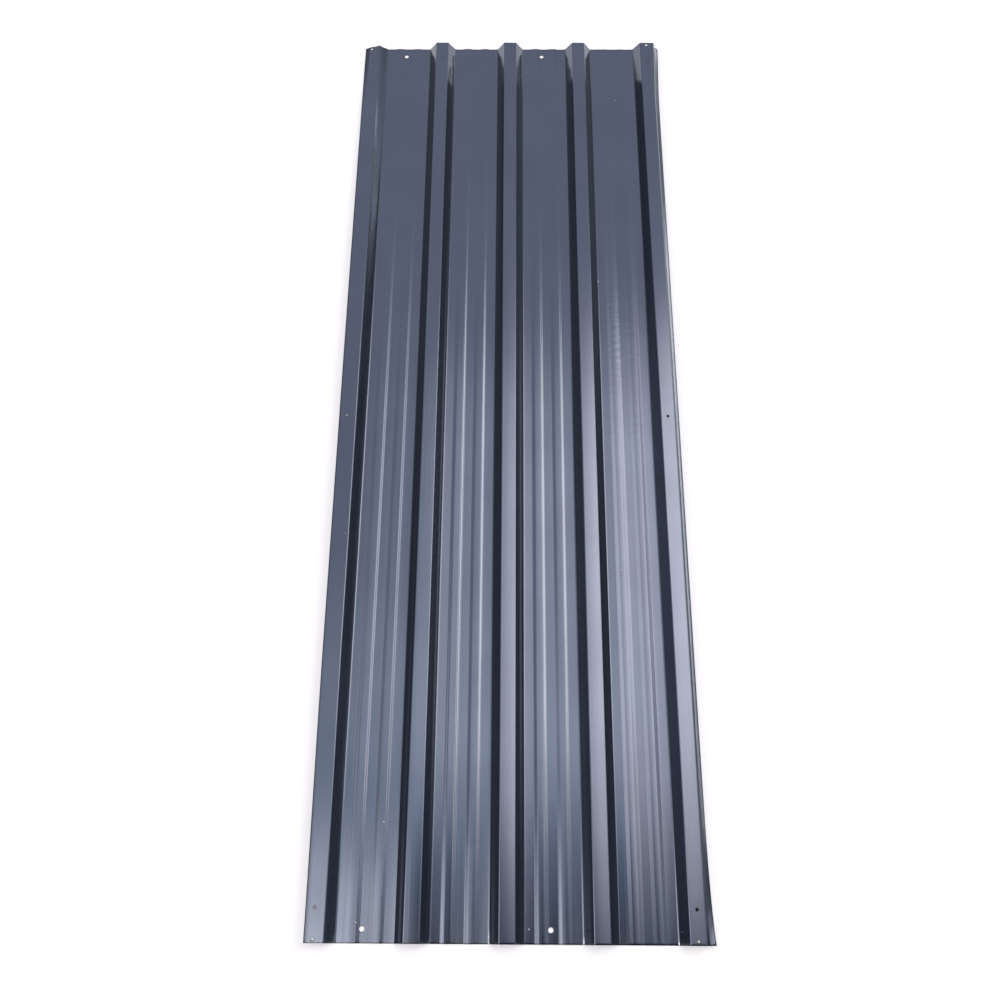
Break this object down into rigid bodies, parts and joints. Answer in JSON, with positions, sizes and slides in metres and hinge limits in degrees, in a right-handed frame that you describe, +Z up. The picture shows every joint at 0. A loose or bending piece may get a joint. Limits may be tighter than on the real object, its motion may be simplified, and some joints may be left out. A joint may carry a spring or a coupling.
{
  "type": "box-rib roofing sheet",
  "caption": "Long roof or wall cladding panel rolled from painted steel, with trapezoid ribs, ridged pans, a lap flange along one side, a lipped leg along the other, and punched screw holes.",
  "frame": {"origin": "centre of the sheet in plan, at the height of the pans' underside", "axes": "+Y along the ribs, +X across them from the lap flange to the lipped leg, +Z up"},
  "size_m": [0.45, 1.29, 0.0144],
  "materials": {
    "painted_steel": "semi-gloss anthracite blue-grey coil coating"
  },
  "bodies": {
    "root": {"roof_sheet": "painted_steel"}
  },
  "joints": []
}
